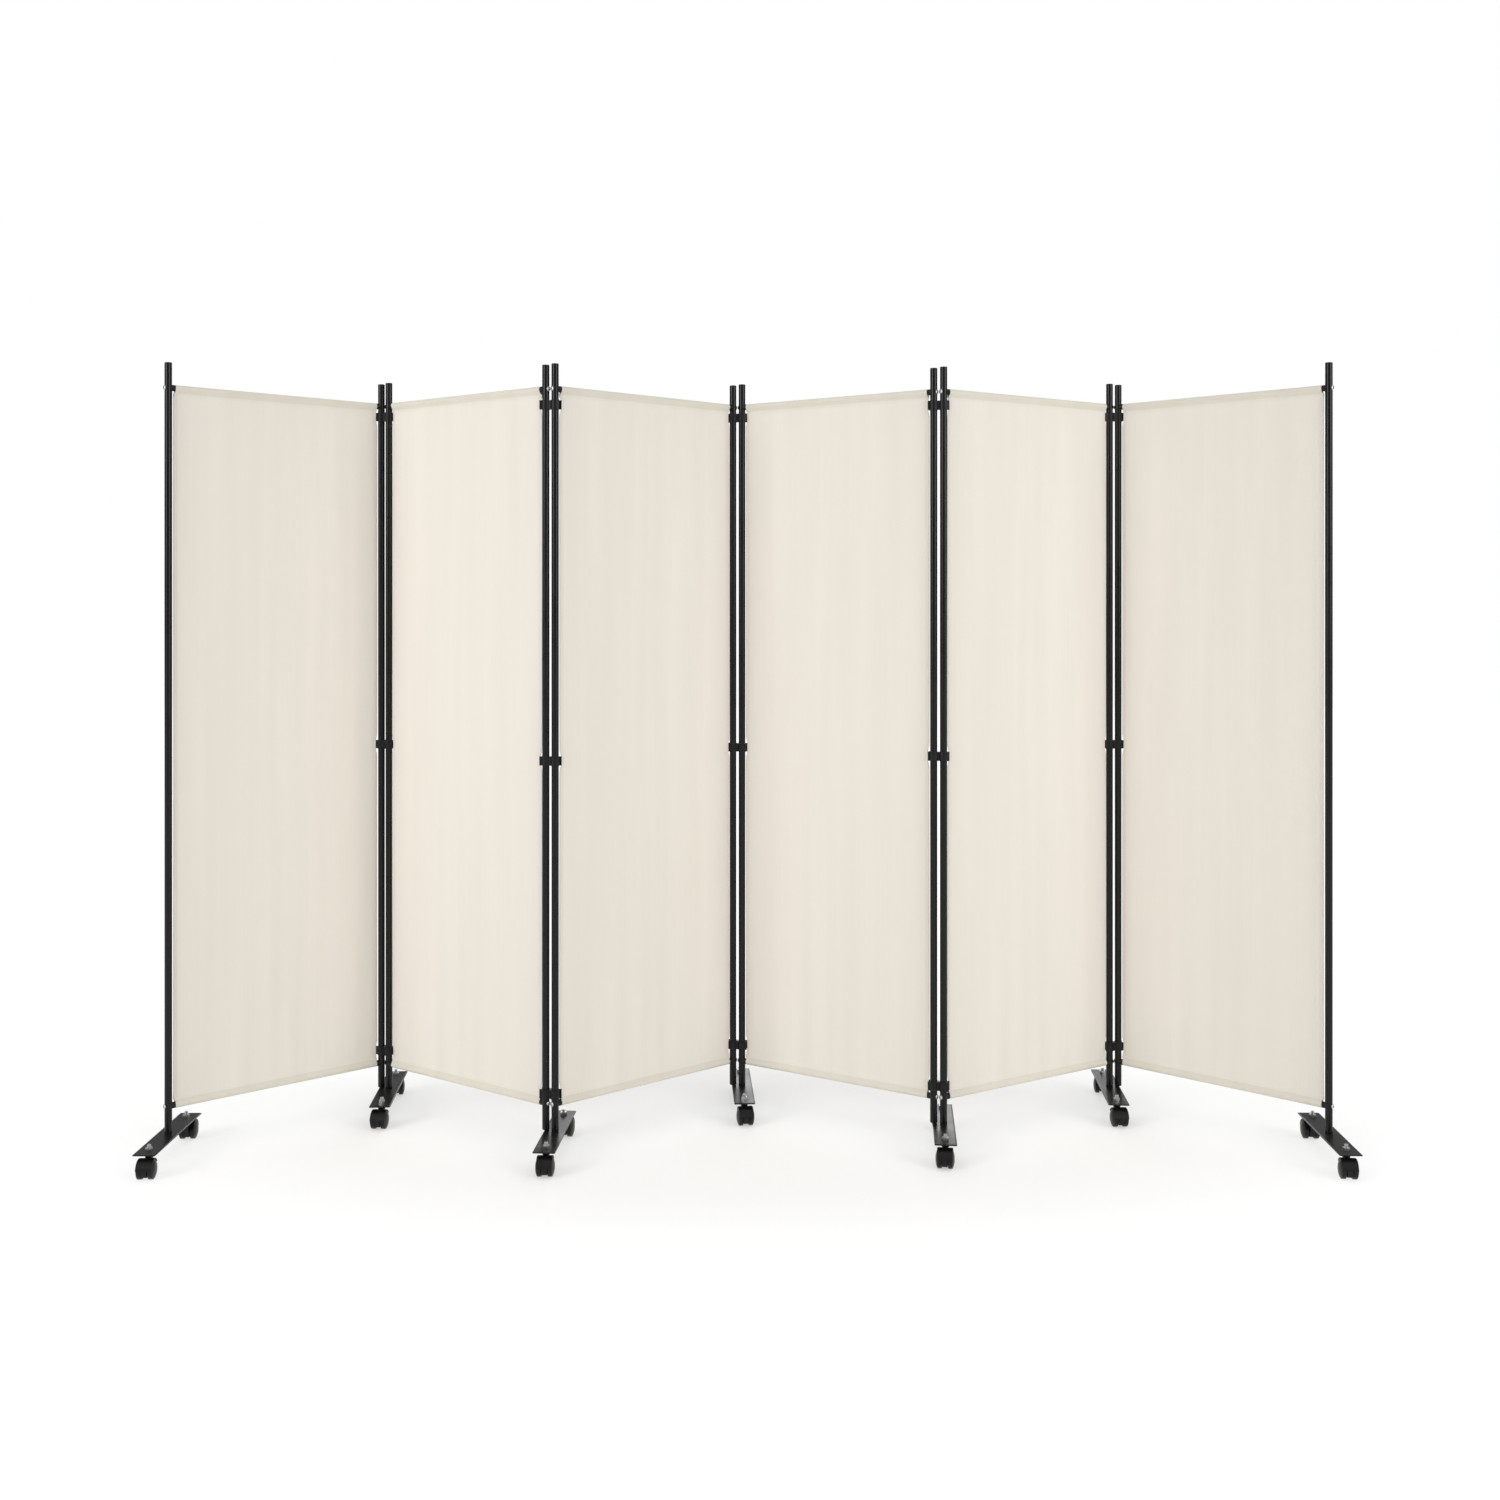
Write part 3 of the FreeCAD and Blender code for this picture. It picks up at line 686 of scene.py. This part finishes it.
for n in foot_numbers:
    bar = placed(bar_model, f"foot_{n}_bar", foot_place[n], f"foot_{n}")
    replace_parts(bar, f"foot_{n}_plate")
    pair = []
    for way in (-1, 1):
        tightened = Matrix.Rotation(0.4 * n + way, 4, "Z")  # each nut stops at an angle of its own
        end = Matrix.Translation((way * stem_offset, 0, 0)) @ tightened
        pair.append(placed(bolted_model, f"foot_{n}_stems", foot_place[n] @ end, f"foot_{n}"))
    stems = joined(pair)
    stems.name = f"foot_{n}_stems"
bpy.data.objects.remove(bar_model)
bpy.data.objects.remove(bolted_model)

# Casters
# Two nylon wheels of 40 mm are pressed on one axle, either side of a moulded body that also covers them.
# Both are black, and the wheels are a little glossier on their domed faces.
wheel_nylon = moulded_nylon("polished_black_wheel_nylon", "#0f0f10", 0.33, 1.1 * mm)
for n in foot_numbers:
    for end in ("front", "back"):
        paint(frame["nodes"][f"foot_{n}_{end}_hood"], nylon)
        paint(frame["nodes"][f"foot_{n}_{end}_wheels"], wheel_nylon)

# The studio
# A white floor that keeps the soft shadows of the feet, a white surround that is lighter overhead, and three
# broad soft lights: one from each side of the camera, and a weaker one behind the divider.
floor_size = 30
shadow_near, shadow_far = 0.34, 0.88  # the metres from the middle over which the floor turns white
shadow_narrowing = 0.42  # a metre along the divider counts for less, so that its end feet keep their shadows
bpy.ops.mesh.primitive_plane_add(size=floor_size)
floor = bpy.context.object
floor.name = "studio_floor"
floor_paper, tree = empty_material("white_studio_floor")
rays = add(tree, "LightPath")
seen = add(tree, "Math", links={0: rays.outputs["Is Camera Ray"], 1: rays.outputs["Is Glossy Ray"]},
           operation="MAXIMUM").outputs["Value"]
seen = add(tree, "Math", links={0: seen, 1: rays.outputs["Is Transmission Ray"]}, operation="MAXIMUM")
oval = add(tree, "Mapping", {"Scale": (shadow_narrowing, 1.0, 1.0)},
           {"Vector": add(tree, "TexCoord").outputs["Object"]})
reach = add(tree, "VectorMath", links={0: oval.outputs["Vector"]}, operation="LENGTH").outputs["Value"]
glowing = add(tree, "MapRange", {"From Min": shadow_near, "From Max": shadow_far, "To Min": 0.42,
                                 "To Max": 1.0}, {"Value": reach},
              interpolation_type="SMOOTHSTEP").outputs["Result"]
share = add(tree, "Math", links={0: seen.outputs["Value"], 1: glowing}, operation="MULTIPLY").outputs["Value"]
paper = add(tree, "BsdfDiffuse", {"Color": colour("#f7f7f6")})
glow = add(tree, "Emission", {"Color": (1, 1, 1, 1), "Strength": 1.07})
both = add(tree, "MixShader", links={0: share, 1: paper.outputs["BSDF"], 2: glow.outputs["Emission"]})
add(tree, "OutputMaterial", links={"Surface": both.outputs["Shader"]})
paint(floor, floor_paper)

world = bpy.data.worlds.new("white_surround")
bpy.context.scene.world = world
world.use_nodes = True
tree = world.node_tree
tree.nodes.clear()
rays = add(tree, "LightPath")
seen = add(tree, "Math", links={0: rays.outputs["Is Camera Ray"], 1: rays.outputs["Is Transmission Ray"]},
           operation="MAXIMUM")
up = add(tree, "SeparateXYZ", links={"Vector": add(tree, "TexCoord").outputs["Generated"]}).outputs["Z"]
ceiling = add(tree, "MapRange", {"From Min": 0.05, "From Max": 0.8, "To Min": 0.15, "To Max": 0.78},
              {"Value": up}).outputs["Result"]
level = add(tree, "Mix", {"B": 1.0}, {"Factor": seen.outputs["Value"], "A": ceiling}).outputs["Result"]
light = add(tree, "Background", {"Color": (1, 1, 1, 1)}, {"Strength": level})
add(tree, "OutputWorld", links={"Surface": light.outputs["Background"]})


def soft_light(name, place, target, size, power):
    """A round lamp, its size in metres and its power in watts, turned to a point."""
    lamp = bpy.data.lights.new(name, "AREA")
    lamp.shape = "DISK"
    lamp.size = size
    lamp.energy = power
    holder = bpy.data.objects.new(name, lamp)
    holder.location = place
    holder.rotation_euler = (Vector(target) - Vector(place)).to_track_quat("-Z", "Y").to_euler()
    bpy.context.scene.collection.objects.link(holder)


soft_light("key_light", (-5.8, -4.5, 3.0), (0, 0, 0.7), 3.2, 212)
soft_light("fill_light", (5.8, -4.5, 2.8), (0, 0, 0.7), 3.6, 196)
soft_light("back_light", (0.5, 6.5, 3.0), (0, 0, 0.9), 4.0, 110)

# The camera
# It stands 3.6 m in front at 1.2 m height and looks level, as in the photograph; the shift frames the feet.
view = bpy.data.cameras.new("camera")
view.sensor_width = 36.0
view.lens = 37.66
view.shift_y = -0.0961
view.clip_end = 100.0
camera = bpy.data.objects.new("camera", view)
camera.location = (0.0013, -3.5944, 1.2041)
camera.rotation_euler = (math.pi / 2, 0, 0)
bpy.context.scene.collection.objects.link(camera)
bpy.context.scene.camera = camera
bpy.context.scene.view_settings.view_transform = "Standard"
